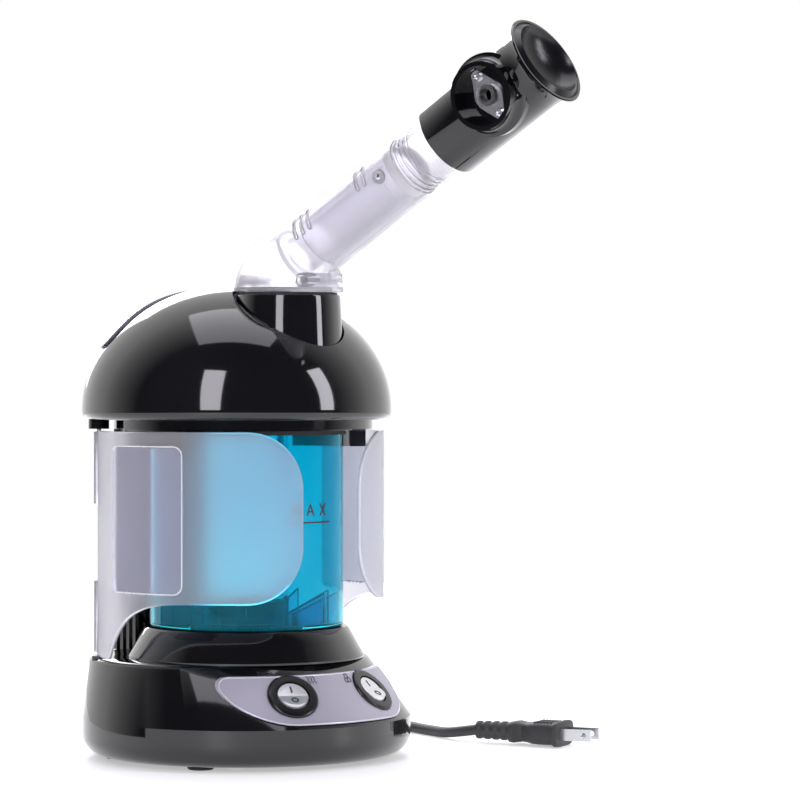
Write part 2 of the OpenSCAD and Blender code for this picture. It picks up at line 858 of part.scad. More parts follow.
module slide_tube() {
    color(colour_clear) arm_frame() difference() {
        union() {
            translate([0, 0, arm_l - slide_tail])
                cylinder(r = slide_r, h = head_start + 8 - arm_l + slide_tail);
            translate([0, 0, arm_l + gap]) cylinder(r = slide_r + 1.0, h = head_start - arm_l - 2 * gap);
            for (i = [0 : 3]) translate([0, 0, arm_l + gap + i * 3.1])
                cylinder(r = slide_r + 1.9, h = 1.8);
        }
        translate([0, 0, arm_l - slide_tail - cut])
            cylinder(r = slide_r - 1.4, h = head_start + 10 - arm_l + slide_tail);
    }
}

module head_clip() {
    color("#e2e2e4") arm_frame() translate([0, 0, head_start + 5 + gap])
        ring(slide_r + 2, slide_r, 2);
}

// ---------- steam head ----------

module head_shell() {
    foot_r = port_r + port_wall + 4;
    color(colour_black) difference() {
        union() {
            difference() {
                union() {
                    arm_frame() head_outline();
                    port_frame() cylinder(r = port_r + port_wall, h = port_reach);
                    port_frame() rotate_extrude() polygon(concat([[0, head_r - 8], [foot_r, head_r - 8]],
                        arc([foot_r, head_r + 2], 4, 6, -90, -180, 5), [[0, head_r + 2]]));
                }
                arm_frame() head_cavity();
            }
            port_frame() translate([0, 0, port_floor - 2]) cylinder(r = port_r + port_wall - 0.7, h = 6);
        }
        arm_frame() translate([0, 0, head_start - cut]) cylinder(r = slide_r + running, h = 10);
        port_frame() translate([0, 0, port_seat]) cylinder(r = port_r, h = 20);
        port_frame() translate([0, 0, port_floor]) cylinder(r = port_r - 0.5, h = 20);
        port_frame() for (y = [-1, 1]) translate([0, y * 11, port_floor - 4]) cylinder(r = 1.2, h = 8);
        port_frame() cylinder(r = jet_r, h = 40);
    }
}

module head_outline() {
    rotate_extrude() polygon(concat([[0, head_start]],
        arc([head_r - 1, head_start + 1], 1, 1, -90, 0, 3),
        [[head_r, head_end - 4]],
        arc([flare_r, head_end - 4], flare_r - head_r, flare_l + 4, 180, 110, 8),
        [[flare_r, head_end + flare_l - 0.6], [flare_r - 0.6, head_end + flare_l],
         [0, head_end + flare_l]]));
}

module head_cavity() {
    inner = head_r - head_wall;
    rotate_extrude() polygon([[0, head_start + 5], [inner, head_start + 5], [inner, head_end + 1],
        [flare_r - 1, head_end + 1 + flare_l], [0, head_end + 1 + flare_l]]);
}

module head_end_cap() {
    rim = head_r - head_wall;
    color("#232325") arm_frame() rotate_extrude() polygon(concat(
        [[0, head_end - 4], [rim, head_end - 4], [rim, head_end + 1],
         [rim + (flare_r - 1 - rim) * 0.8, head_end + 1 + flare_l * 0.8]],
        arc([0, head_end + flare_l * 1.6], rim + 2.5, flare_l * 1.6, -15, -90, 8)));
}

module port_plate() {
    color(colour_steel) port_frame() translate([0, 0, port_floor]) difference() {
        linear_extrude(1) difference() {
            hull() {
                circle(r = 8, $fn = 32);
                for (y = [-1, 1]) translate([0, y * 11]) circle(r = 3, $fn = 32);
            }
        }
        translate([0, 0, -cut]) cylinder(r = jet_r, h = 3);
        for (y = [-1, 1]) translate([0, y * 11, -cut]) cylinder(r = 1.2, h = 3);
    }
}

module port_screws() {
    color("#d5d6d8") port_frame() for (y = [-1, 1])
        translate([0, y * 11, port_floor + 2.6]) rotate([180, 0, 0]) screw(1.6, 3.5, 2.4, 1.2);
}

module steam_jet() {
    color([0.85, 0.88, 0.95, 0.6]) port_frame() translate([0, 0, port_floor - 3]) ring(jet_r, jet_r - 2, 7);
}

// ---------- mains cord ----------

module relief_frame() {
    spot = at_bearing(relief_bearing, relief_wall_r);
    translate([spot[0], spot[1], relief_z]) rotate([0, 0, relief_bearing]) rotate([90, 0, 0]) children();
}

module cord_relief() {
    color("#1c1c1e") relief_frame() {
        translate([0, 0, -8]) cylinder(r = relief_neck_r, h = 8.5);
        rotate_extrude() polygon([[0, 0.4], [7, 0.4], [7, 3], [5.4, 4], [4, relief_l], [0, relief_l]]);
    }
}

function unit(v) = v / norm(v);
function heading(path, i) = unit(path[min(i + 1, len(path) - 1)] - path[max(i - 1, 0)]);

// a ring of points square to the path at point i
function tube_ring(path, i, r, sides) =
    let (t = heading(path, i), across = unit(cross([0, 0, 1], t)), up = cross(t, across))
    [for (k = [0 : sides - 1]) let (a = 360 * k / sides)
        path[i] + r * cos(a) * across + r * sin(a) * up];

module tube(path, r, sides = 10) {
    n = len(path);
    points = [for (i = [0 : n - 1], p = tube_ring(path, i, r, sides)) p];
    skin = [for (i = [0 : n - 2], k = [0 : sides - 1])
        let (a = i * sides + k, b = i * sides + (k + 1) % sides) [a, a + sides, b + sides, b]];
    polyhedron(points, concat([[for (k = [0 : sides - 1]) k]], skin,
        [[for (k = [sides - 1 : -1 : 0]) (n - 1) * sides + k]]));
}

module cord_lead() {
    color(colour_cord) tube(lead_points, cord_r);
}

module cord_tail() {
    color(colour_cord) tube(tail_points, cord_r);
}

module coil_frame() {
    translate([coil_x, coil_y, coil_z]) children();
}

module cord_coil() {
    color(colour_cord) coil_frame() ring(coil_out_r, coil_in_r, 2 * cord_d);
}

module cord_tie() {
    sag = 0.5;
    w = coil_out_r - coil_in_r + sag;
    color("#1c1c1e") coil_frame() rotate([0, 0, 200]) translate([coil_in_r - sag - tie_t, -4, -tie_t])
        difference() {
            cube([w + 2 * tie_t, 8, 2 * cord_d + 2 * tie_t]);
            translate([tie_t, -cut, tie_t]) cube([w, 8 + 2 * cut, 2 * cord_d]);
        }
}

module plug_frame() {
    translate(plug_pos) rotate([0, 0, plug_bearing]) rotate([90, 0, 0]) children();
}

module plug_body() {
    relief_l = 21;
    body_l = 27.5;
    flange_t = 3;
    color(colour_cord) plug_frame() {
        rotate_extrude() polygon([[0, 0], [5.2, 0], [6.4, relief_l], [0, relief_l]]);
        hull() {
            translate([-9.9, -5.6, relief_l]) cube([19.8, 11.2, 1]);
            translate([-7.3, -5, relief_l + 7]) cube([14.6, 10, 1]);
        }
        hull() {
            translate([-7.3, -5, relief_l + 7]) cube([14.6, 10, 1]);
            translate([-11.3, -6, relief_l + 14]) cube([22.6, 12, body_l - 14]);
        }
        translate([-14, -7, relief_l + body_l]) cube([28, 14, flange_t]);
    }
}

module plug_blades() {
    start = 21 + 27.5 + 3;
    color("#c8cacc") plug_frame() for (x = [-1, 1]) difference() {
        translate([x * 6.35 - 0.75, -3.15, start]) cube([1.5, 6.3, 17.6]);
        translate([x * 6.35, 0, start + 13.5]) rotate([0, 90, 0]) cylinder(r = 1.5, h = 4, center = true);
    }
}

base_tray();
base_shell();
rubber_feet();
base_screws();
control_panel();
steam_switch_housing();
ozone_switch_housing();
steam_rocker();
ozone_rocker();
switch_terminals();
power_board();
board_parts();
ozone_transformer();
heater_plate();
thermostat();
thermal_fuse();
boiler_cup();
boiler_gasket();
tank_seat();
water_tank();
tank_fins();
tank_gasket();
tank_retainers();
rear_column();
wire_loom();
dome_base();
dome_shell();
dome_rear_cover();
dome_screws();
ozone_lamp();
lamp_holder();
steam_funnel();
neck_ring();
neck_seal();
left_door();
right_door();
hinge_pins();
arm_left_half();
arm_right_half();
arm_screws();
steam_tube();
arm_bush();
slide_tube();
head_clip();
head_shell();
head_end_cap();
port_plate();
port_screws();
steam_jet();
cord_relief();
cord_lead();
cord_coil();
cord_tie();
cord_tail();
plug_body();
plug_blades();
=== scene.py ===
"""Facial steamer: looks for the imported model, laid out as an add-on and run as a script."""

import json
import math

import bmesh
import bpy
from mathutils import Matrix, Vector


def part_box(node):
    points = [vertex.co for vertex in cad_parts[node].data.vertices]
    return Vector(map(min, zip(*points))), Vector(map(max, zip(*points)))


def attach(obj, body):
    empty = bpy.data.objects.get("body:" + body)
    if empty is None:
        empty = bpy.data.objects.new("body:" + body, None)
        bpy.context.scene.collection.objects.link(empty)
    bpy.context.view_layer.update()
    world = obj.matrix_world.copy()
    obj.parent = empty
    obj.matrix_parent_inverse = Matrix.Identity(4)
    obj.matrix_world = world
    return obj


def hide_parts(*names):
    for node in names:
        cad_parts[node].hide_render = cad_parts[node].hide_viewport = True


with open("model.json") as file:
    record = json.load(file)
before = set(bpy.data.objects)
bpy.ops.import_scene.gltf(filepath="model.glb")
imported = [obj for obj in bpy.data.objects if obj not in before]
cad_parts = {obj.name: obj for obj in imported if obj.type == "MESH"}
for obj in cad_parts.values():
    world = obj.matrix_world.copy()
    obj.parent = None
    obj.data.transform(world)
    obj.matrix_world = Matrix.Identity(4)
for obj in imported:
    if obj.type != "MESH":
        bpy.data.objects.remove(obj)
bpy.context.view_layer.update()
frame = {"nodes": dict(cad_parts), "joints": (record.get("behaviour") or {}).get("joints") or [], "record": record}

bl_info = {
    "name": "Facial Steamer",
    "version": (1, 0, 0),
    "blender": (4, 5, 0),
    "location": "View3D > Sidebar > Steamer",
    "description": "Builds the finishes, doors, marks, cord and stage of a tabletop facial steamer",
    "category": "Object",
}

MM = 0.001

# ---------- places, taken from the frame ----------

DECK_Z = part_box("tank_seat")[0][2]
SEAT_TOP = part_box("water_tank")[0][2]
TANK_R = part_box("water_tank")[1][0]
TANK_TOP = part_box("water_tank")[1][2]
DOOR_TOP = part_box("right_door")[1][2]
JOINTS = {joint["name"]: joint for joint in frame["joints"]}


def joint_axis(name):
    """A joint's unit direction in the row frame."""
    return Vector(JOINTS[name]["axis"]).normalized()


def joint_place(name):
    """A point on a hinge's axis in the row frame."""
    return Vector(JOINTS[name]["pos_m"])


ARM_WAY = joint_axis("head_turn")
ARM_SIDE = Vector((0, 0, 1)).cross(ARM_WAY).normalized() * -1
HEAD_PLACE = joint_place("head_turn")

# ---------- the cord's route, in metres ----------

CORD_D = 0.006
LEAD_POINTS = [(0.040, 0.111, 0.023), (0.046, 0.127, 0.0205), (0.056, 0.139, 0.014), (0.069, 0.145, 0.0075),
               (0.084, 0.144, 0.0042), (0.098, 0.139, 0.004), (0.111, 0.130, 0.004), (0.123, 0.119, 0.004)]
TAIL_POINTS = [(0.146, 0.084, 0.0098), (0.146, 0.070, 0.010), (0.146, 0.056, 0.008), (0.145, 0.042, 0.005),
               (0.143, 0.028, 0.0034), (0.140, 0.014, 0.003), (0.137, 0.0, 0.003), (0.134, -0.014, 0.0034),
               (0.133, -0.027, 0.005), (0.134, -0.040, 0.007)]
COIL_CENTRE = (0.107, 0.081)
COIL_LOW = 0.0038
COIL_OUTER = 0.039
COIL_INNER = 0.027
PLUG_BEARING = math.radians(23.5)

# ---------- small mesh tools ----------


def new_mesh(name, verts, faces, smooth=True):
    """A mesh object in the scene from vertices and faces."""
    mesh = bpy.data.meshes.new(name)
    mesh.from_pydata([tuple(v) for v in verts], [], faces)
    mesh.validate()
    mesh.update()
    for poly in mesh.polygons:
        poly.use_smooth = smooth
    obj = bpy.data.objects.new(name, mesh)
    bpy.context.scene.collection.objects.link(obj)
    return obj


def outward(obj):
    """Turns all faces of a closed mesh outwards."""
    bm = bmesh.new()
    bm.from_mesh(obj.data)
    bmesh.ops.recalc_face_normals(bm, faces=bm.faces)
    bm.to_mesh(obj.data)
    bm.free()
    return obj


def lathe(name, profile, place=Matrix.Identity(4), steps=64):
    """Revolves (radius, height) points round local Z and closes the ends on the axis."""
    verts, faces, rings = [], [], []
    for radius, height in profile:
        if radius < 1e-7:
            rings.append([len(verts)])
            verts.append(place @ Vector((0, 0, height)))
            continue
        rings.append(list(range(len(verts), len(verts) + steps)))
        for k in range(steps):
            turn = 2 * math.pi * k / steps
            verts.append(place @ Vector((radius * math.cos(turn), radius * math.sin(turn), height)))
    for low, high in zip(rings, rings[1:]):
        for k in range(steps):
            a, b = low[k % len(low)], low[(k + 1) % len(low)]
            c, d = high[(k + 1) % len(high)], high[k % len(high)]
            face = [v for i, v in enumerate((a, b, c, d)) if v not in (a, b, c, d)[:i]]
            if len(face) > 2:
                faces.append(face)
    return outward(new_mesh(name, verts, faces))


def sweep(name, path, radius, sides=10):
    """A round rod along a path, with closed ends."""
    verts, faces = [], []
    up = Vector((0, 0, 1))
    for i, point in enumerate(path):
        way = (path[min(i + 1, len(path) - 1)] - path[max(i - 1, 0)]).normalized()
        across = way.cross(up)
        across = across.normalized() if across.length > 1e-6 else Vector((1, 0, 0))
        up = across.cross(way).normalized()
        for k in range(sides):
            turn = 2 * math.pi * k / sides
            verts.append(point + across * radius * math.cos(turn) + up * radius * math.sin(turn))
    for i in range(len(path) - 1):
        for k in range(sides):
            a, b = i * sides + k, i * sides + (k + 1) % sides
            faces.append((a, b, b + sides, a + sides))
    faces.append(list(range(sides))[::-1])
    faces.append([(len(path) - 1) * sides + k for k in range(sides)])
    return outward(new_mesh(name, verts, faces))


def smooth_line(points, step=0.0025):
    """A smooth curve through given points, sampled about every step."""
    pts = [Vector(p) for p in points]
    line = []
    for i in range(len(pts) - 1):
        p0, p1 = pts[max(i - 1, 0)], pts[i]
        p2, p3 = pts[i + 1], pts[min(i + 2, len(pts) - 1)]
        count = max(2, round((p2 - p1).length / step))
        for k in range(count):
            t = k / count
            line.append(0.5 * (2 * p1 + (p2 - p0) * t + (2 * p0 - 5 * p1 + 4 * p2 - p3) * t * t
                               + (3 * p1 - p0 - 3 * p2 + p3) * t ** 3))
    return line + [pts[-1]]


def bevelled(obj, width, segments=2):
    """Rounds the sharp edges of a mesh."""
    mod = obj.modifiers.new("soft edges", "BEVEL")
    mod.width = width
    mod.segments = segments
    mod.limit_method = "ANGLE"
    return obj


def smooth_shading(obj, angle=28.0):
    """Smooth shading that keeps a part's true edges sharp."""
    normals = obj.data.attributes.get("custom_normal")
    if normals:
        obj.data.attributes.remove(normals)
    for poly in obj.data.polygons:
        poly.use_smooth = True
    weld = obj.modifiers.new("weld", "WELD")
    weld.merge_threshold = 1e-6
    split = obj.modifiers.new("true edges", "EDGE_SPLIT")
    split.split_angle = math.radians(angle)


def facing(place, way, side=None):
    """A matrix at a place whose Z points along way."""
    z = way.normalized()
    x = (side or (Vector((0, 0, 1)) if abs(z.z) < 0.9 else Vector((1, 0, 0)))).normalized()
    y = z.cross(x).normalized()
    x = y.cross(z).normalized()
    return Matrix.Translation(place) @ Matrix((x, y, z)).transposed().to_4x4()


# ---------- materials ----------


def shader(name):
    """A material with its node tree, its shader and an object-space noise source."""
    mat = bpy.data.materials.new(name)
    mat.use_nodes = True
    tree = mat.node_tree
    return mat, tree, tree.nodes["Principled BSDF"]


def noise(tree, scale, detail=3.0):
    """Noise in the object's own coordinates."""
    place = tree.nodes.new("ShaderNodeTexCoord")
    grain = tree.nodes.new("ShaderNodeTexNoise")
    grain.inputs["Scale"].default_value = scale
    grain.inputs["Detail"].default_value = detail
    tree.links.new(place.outputs["Object"], grain.inputs["Vector"])
    return grain


def vary_roughness(tree, bsdf, low, high, scale):
    """Uneven gloss between two values."""
    grain = noise(tree, scale, 4)
    span = tree.nodes.new("ShaderNodeMapRange")
    span.inputs["To Min"].default_value = low
    span.inputs["To Max"].default_value = high
    tree.links.new(grain.outputs["Fac"], span.inputs["Value"])
    tree.links.new(span.outputs["Result"], bsdf.inputs["Roughness"])


def vary_colour(tree, bsdf, first, second, scale, detail=2.0):
    """A soft drift between two close colours."""
    grain = noise(tree, scale, detail)
    ramp = tree.nodes.new("ShaderNodeValToRGB")
    ramp.color_ramp.elements[0].position = 0.35
    ramp.color_ramp.elements[0].color = (*first, 1)
    ramp.color_ramp.elements[1].position = 0.65
    ramp.color_ramp.elements[1].color = (*second, 1)
    tree.links.new(grain.outputs["Fac"], ramp.inputs["Fac"])
    tree.links.new(ramp.outputs["Color"], bsdf.inputs["Base Color"])


def surface_grain(tree, bsdf, strength, scale, distance=0.0002):
    """Fine bump of a moulded or cast surface."""
    grain = noise(tree, scale, 5)
    bump = tree.nodes.new("ShaderNodeBump")
    bump.inputs["Strength"].default_value = strength
    bump.inputs["Distance"].default_value = distance
    tree.links.new(grain.outputs["Fac"], bump.inputs["Height"])
    tree.links.new(bump.outputs["Normal"], bsdf.inputs["Normal"])


def moulded(name, first, second, rough, grain=0.05, grain_scale=900, coat=0.0, metal=0.0):
    """Opaque moulded plastic, rubber, paint or metal."""
    mat, tree, bsdf = shader(name)
    vary_colour(tree, bsdf, first, second, 14)
    vary_roughness(tree, bsdf, rough[0], rough[1], 45)
    surface_grain(tree, bsdf, grain, grain_scale)
    bsdf.inputs["Metallic"].default_value = metal
    bsdf.inputs["Coat Weight"].default_value = coat
    bsdf.inputs["Coat Roughness"].default_value = 0.04
    return mat


def see_through(name, first, second, rough, clear, ior, grain=0.02):
    """Translucent moulded plastic; clear is the share of light that passes."""
    mat, tree, bsdf = shader(name)
    vary_colour(tree, bsdf, first, second, 9)
    vary_roughness(tree, bsdf, rough[0], rough[1], 30)
    surface_grain(tree, bsdf, grain, 400)
    bsdf.inputs["Transmission Weight"].default_value = clear
    bsdf.inputs["IOR"].default_value = ior
    return mat


def build_materials(look):
    """Every finish of the steamer, by name."""
    black = tuple(look.black)
    silver = tuple(look.silver)
    tank = tuple(look.tank)
    lighter = [tuple(min(1, c * 1.25 + 0.002) for c in colour) for colour in (black, silver, tank)]
    return {
        "gloss_black": moulded("gloss_black", black, lighter[0], (0.05, 0.10), 0.02, 160, coat=0.5),
        "satin_black": moulded("satin_black", (0.006, 0.006, 0.008), (0.01, 0.01, 0.012), (0.2, 0.3), 0.1),
        "silver_trim": moulded("silver_trim", silver, lighter[1], (0.32, 0.42), 0.08, 1500, metal=0.25),
        "rubber_black": moulded("rubber_black", (0.02, 0.02, 0.021), (0.032, 0.032, 0.034), (0.6, 0.75), 0.3),
        "steel": moulded("steel", (0.62, 0.63, 0.65), (0.75, 0.76, 0.78), (0.16, 0.3), 0.1, 2500, metal=1.0),
        "rocker_silver": moulded("rocker_silver", (0.72, 0.72, 0.75), (0.84, 0.84, 0.87), (0.16, 0.26), 0.1, 1800,
                                 metal=0.55),
        "brass_terminals": moulded("brass_terminals", (0.6, 0.43, 0.16), (0.72, 0.55, 0.24), (0.25, 0.4), metal=1.0),
        "board_green": moulded("board_green", (0.01, 0.13, 0.04), (0.02, 0.18, 0.06), (0.3, 0.4), 0.2),
        "component_blue": moulded("component_blue", (0.02, 0.04, 0.14), (0.03, 0.06, 0.2), (0.4, 0.5), 0.2),
        "transformer_brown": moulded("transformer_brown", (0.12, 0.09, 0.06), (0.18, 0.14, 0.1), (0.5, 0.6), 0.3),
        "aluminium_cup": moulded("aluminium_cup", (0.03, 0.04, 0.05), (0.05, 0.06, 0.07), (0.3, 0.42), 0.2, metal=0.4),
        "ceramic": moulded("ceramic", (0.72, 0.68, 0.6), (0.8, 0.76, 0.7), (0.5, 0.7), 0.3),
        "silicone": moulded("silicone", (0.62, 0.64, 0.66), (0.7, 0.72, 0.74), (0.4, 0.5), 0.1),
        "white_plastic": moulded("white_plastic", (0.74, 0.73, 0.71), (0.8, 0.79, 0.77), (0.35, 0.45), 0.1),
        "cord_grey": moulded("cord_grey", (0.028, 0.028, 0.03), (0.042, 0.042, 0.045), (0.45, 0.6), 0.25, 1300),
        # painted highlight: a lighter copy of the trim colour for the line round the control panel's edge
        "panel_rim_highlight": moulded("panel_rim_highlight", (0.75, 0.73, 0.82), (0.82, 0.8, 0.88), (0.2, 0.3), metal=0.3),
        "mark_dark": moulded("mark_dark", (0.06, 0.015, 0.02), (0.08, 0.02, 0.025), (0.4, 0.5)),
        "tank_edge": moulded("tank_edge", (0.004, 0.035, 0.075), (0.008, 0.05, 0.09), (0.2, 0.3)),
        "mark_grey": moulded("mark_grey", (0.03, 0.03, 0.035), (0.05, 0.05, 0.055), (0.4, 0.5)),
        "tank_blue": see_through("tank_blue", tank, lighter[2], (0.04, 0.09), 0.92, 1.2),
        "frosted_door": see_through("frosted_door", (0.91, 0.90, 0.96), (0.94, 0.93, 0.98), (0.30, 0.36), 0.84, 1.25),
        "door_window": see_through("door_window", (0.74, 0.74, 0.88), (0.79, 0.79, 0.91), (0.06, 0.10), 0.70, 1.2),
        # painted highlight: opaque near-white for the shields' edges and the line round their windows
        "door_edge_highlight": moulded("door_edge_highlight", (0.86, 0.86, 0.92), (0.92, 0.92, 0.96), (0.1, 0.2), 0.02),
        "clear_arm": see_through("clear_arm", (0.95, 0.94, 0.985), (0.975, 0.965, 0.995), (0.2, 0.28), 0.80, 1.22, 0.05),
        "steam_hose": see_through("steam_hose", (0.96, 0.955, 0.98), (0.98, 0.975, 0.99), (0.3, 0.4), 0.93, 1.1),
        "lamp_glass": see_through("lamp_glass", (0.95, 0.95, 1.0), (0.98, 0.98, 1.0), (0.01, 0.03), 0.98, 1.45),
    }


FINISHES = {}


def finish(name):
    """A finish by name, made once."""
    if not FINISHES:
        FINISHES.update(build_materials(bpy.context.scene.steamer_look))
    return FINISHES[name]


def dress(obj, name, body):
    """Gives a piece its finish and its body."""
    obj.data.materials.append(finish(name))
    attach(obj, body)
    return obj


# ---------- door shape ----------

DOOR_R = 0.077
DOOR_T = 0.002
DOOR_BACK = 0.005
DOOR_FRONT = 15.0
DOOR_REAR = 120.0
DOOR_CORNER = 0.030
DOOR_LOW = DECK_Z + 0.032
DOOR_FOOT = DECK_Z + 0.001
WINDOW_BEARINGS = (63.0, 101.0)
WINDOW_HEIGHTS = (DECK_Z + 0.037, DOOR_TOP - 0.0075)
WINDOW_CORNER = 0.005


def round_off(s, r):
    """How far an edge draws in at distance s from a corner of radius r."""
    return 0.0 if s >= r else r - math.sqrt(max(0.0, r * r - (r - s) ** 2))


def door_limits(bearing):
    """Lowest and highest point of the door at a bearing from the front."""
    s = math.radians(bearing - DOOR_FRONT) * DOOR_R
    e = math.radians(DOOR_REAR - bearing) * DOOR_R
    f = min(1.0, max(0.0, (bearing - 50) / 55))
    low = DOOR_LOW - (DOOR_LOW - DOOR_FOOT) * f ** 4 + round_off(s, DOOR_CORNER) + round_off(e, 0.004)
    return low, DOOR_TOP - round_off(s, DOOR_CORNER)


def on_door(bearing, z, radius, side):
    """A point of the door's cylinder."""
    b = math.radians(bearing)
    return Vector((side * radius * math.sin(b), DOOR_BACK - radius * math.cos(b), z))


def in_window(bearing, z):
    """True inside the rounded clear window."""
    half_w = math.radians(WINDOW_BEARINGS[1] - WINDOW_BEARINGS[0]) * DOOR_R / 2
    half_h = (WINDOW_HEIGHTS[1] - WINDOW_HEIGHTS[0]) / 2
    x = abs(math.radians(bearing - sum(WINDOW_BEARINGS) / 2) * DOOR_R) - half_w + WINDOW_CORNER
    y = abs(z - sum(WINDOW_HEIGHTS) / 2) - half_h + WINDOW_CORNER
    return math.hypot(max(x, 0), max(y, 0)) < WINDOW_CORNER


def door_shell(side):
    """The curved shield: two skins joined by a polished rounded edge, whose brightness is a painted highlight."""
    columns, rows = 120, 80
    bearings = [DOOR_FRONT + (DOOR_REAR - DOOR_FRONT) * (1 - math.cos(math.pi * i / columns)) / 2
                for i in range(columns + 1)]
    verts, faces, kinds = [], [], []
    for radius in (DOOR_R, DOOR_R - DOOR_T):
        for b in bearings:
            low, high = door_limits(b)
            for j in range(rows + 1):
                verts.append(on_door(b, low + (high - low) * j / rows, radius, side))
    skin = (columns + 1) * (rows + 1)

    def at(i, j, inner=0):
        return inner * skin + i * (rows + 1) + j

    for i in range(columns):
        for j in range(rows):
            b = (bearings[i] + bearings[i + 1]) / 2
            low, high = door_limits(b)
            kind = 1 if in_window(b, low + (high - low) * (j + 0.5) / rows) else 0
            faces.append((at(i, j), at(i + 1, j), at(i + 1, j + 1), at(i, j + 1)))
            faces.append((at(i, j, 1), at(i, j + 1, 1), at(i + 1, j + 1, 1), at(i + 1, j, 1)))
            kinds += [kind, kind]
    # the edge faces take the third finish, an opaque colour painted as a highlight
    for i in range(columns):
        for j in (0, rows):
            faces.append((at(i, j), at(i, j, 1), at(i + 1, j, 1), at(i + 1, j)))
            kinds.append(2)
    for j in range(rows):
        for i in (0, columns):
            faces.append((at(i, j), at(i, j + 1), at(i, j + 1, 1), at(i, j, 1)))
            kinds.append(2)
    name = "right" if side > 0 else "left"
    door = new_mesh(f"{name}_shield", verts, faces)
    for poly, kind in zip(door.data.polygons, kinds):
        poly.material_index = kind
    outward(door)
    return door


def door_bead(side):
    """The thin moulded line round the clear window, coloured as a painted highlight."""
    mid_b, mid_z = sum(WINDOW_BEARINGS) / 2, sum(WINDOW_HEIGHTS) / 2
    half_w = math.radians(WINDOW_BEARINGS[1] - WINDOW_BEARINGS[0]) * DOOR_R / 2
    half_h = (WINDOW_HEIGHTS[1] - WINDOW_HEIGHTS[0]) / 2
    loop = []
    for qx, qy, start in ((1, 1, 0), (-1, 1, 90), (-1, -1, 180), (1, -1, 270)):
        for k in range(9):
            a = math.radians(start + 90 * k / 8)
            x = qx * (half_w - WINDOW_CORNER) + WINDOW_CORNER * math.cos(a)
            z = qy * (half_h - WINDOW_CORNER) + WINDOW_CORNER * math.sin(a)
            loop.append(on_door(mid_b + math.degrees(x / DOOR_R), mid_z + z, DOOR_R, side))
    verts, faces = [], []
    sides = 6
    count = len(loop)
    fine = []
    for i in range(count):
        a, b = loop[i], loop[(i + 1) % count]
        parts = max(1, round((b - a).length / 0.002))
        for k in range(parts):
            p = a.lerp(b, k / parts)
            flat = Vector((p.x, p.y - DOOR_BACK, 0)).normalized() * DOOR_R
            fine.append(Vector((flat.x, flat.y + DOOR_BACK, p.z)))
    count = len(fine)
    for i, p in enumerate(fine):
        way = (fine[(i + 1) % count] - fine[i - 1]).normalized()
        out = Vector((p.x, p.y - DOOR_BACK, 0)).normalized()
        across = way.cross(out).normalized()
        for k in range(sides):
            a = 2 * math.pi * k / sides
            verts.append(p + out * 0.00025 * math.cos(a) + across * 0.00035 * math.sin(a))
    for i in range(count):
        for k in range(sides):
            a, b = i * sides + k, i * sides + (k + 1) % sides
            c, d = ((i + 1) % count) * sides + (k + 1) % sides, ((i + 1) % count) * sides + k
            faces.append((a, b, c, d))
    return outward(new_mesh(f"{'right' if side > 0 else 'left'}_window_bead", verts, faces))


def door_knuckles(side):
    """The hinge barrels at the door's rear edge, each with its web."""
    joint = joint_place("right_door_hinge" if side > 0 else "left_door_hinge")
    barrels = []
    rear = on_door(DOOR_REAR - 0.6, 0, DOOR_R - DOOR_T / 2, side)
    for k, (low, height) in enumerate(((DOOR_FOOT + 0.002, 0.038), (DOOR_TOP - 0.039, 0.0385))):
        r, inner = 0.00265, 0.00135
        place = Matrix.Translation((joint.x, joint.y, low))
        barrel = lathe(f"knuckle{k}", [(inner, 0), (r - 0.0004, 0), (r, 0.0004), (r, height - 0.0004),
                                       (r - 0.0004, height), (inner, height), (inner, 0)], place, 32)
        barrels.append(barrel)
        way = (Vector((joint.x, joint.y, 0)) - rear).normalized()
        across = Vector((-way.y, way.x, 0)) * 0.0008
        reach = (Vector((joint.x, joint.y, 0)) - rear).length - 0.0018
        corners = [rear + across, rear - across, rear + way * reach - across, rear + way * reach + across]
        web = [c + Vector((0, 0, z)) for z in (low, low + height) for c in corners]
        box_faces = [(0, 1, 2, 3), (4, 5, 6, 7), (0, 1, 5, 4), (1, 2, 6, 5), (2, 3, 7, 6), (3, 0, 4, 7)]
        barrels.append(outward(new_mesh(f"web{k}", web, box_faces, smooth=False)))
    bpy.ops.object.select_all(action="DESELECT")
    for part in barrels:
        part.select_set(True)
    bpy.context.view_layer.objects.active = barrels[0]
    bpy.ops.object.join()
    joined = bpy.context.view_layer.objects.active
    joined.name = f"{'right' if side > 0 else 'left'}_knuckles"
    return joined


# ---------- marks ----------


def stroke(points, width, place, depth=0.0002):
    """Vertices and faces of one flat pen stroke; place maps (x, y, lift) to the object."""
    verts, faces = [], []
    for i, (x, y) in enumerate(points):
        ax, ay = points[max(i - 1, 0)]
        bx, by = points[min(i + 1, len(points) - 1)]
        span = math.hypot(bx - ax, by - ay) or 1
        nx, ny = -(by - ay) / span * width / 2, (bx - ax) / span * width / 2
        for dx, dy, lift in ((nx, ny, depth), (-nx, -ny, depth), (-nx, -ny, 0), (nx, ny, 0)):
            verts.append(place(x + dx, y + dy, lift))
    for i in range(len(points) - 1):
        for k in range(4):
            a, b = 4 * i + k, 4 * i + (k + 1) % 4
            faces.append((a, b, b + 4, a + 4))
    last = 4 * (len(points) - 1)
    faces += [(3, 2, 1, 0), (last, last + 1, last + 2, last + 3)]
    return verts, faces


def strokes(name, lines, width, place):
    """Several strokes as one mesh."""
    verts, faces = [], []
    for line in lines:
        v, f = stroke(line, width, place)
        faces += [tuple(len(verts) + i for i in face) for face in f]
        verts += v
    return outward(new_mesh(name, verts, faces, smooth=False))


def circle_line(cx, cy, r, steps=24):
    """A closed ring as one line of points."""
    return [(cx + r * math.cos(2 * math.pi * k / steps), cy + r * math.sin(2 * math.pi * k / steps))
            for k in range(steps + 1)]


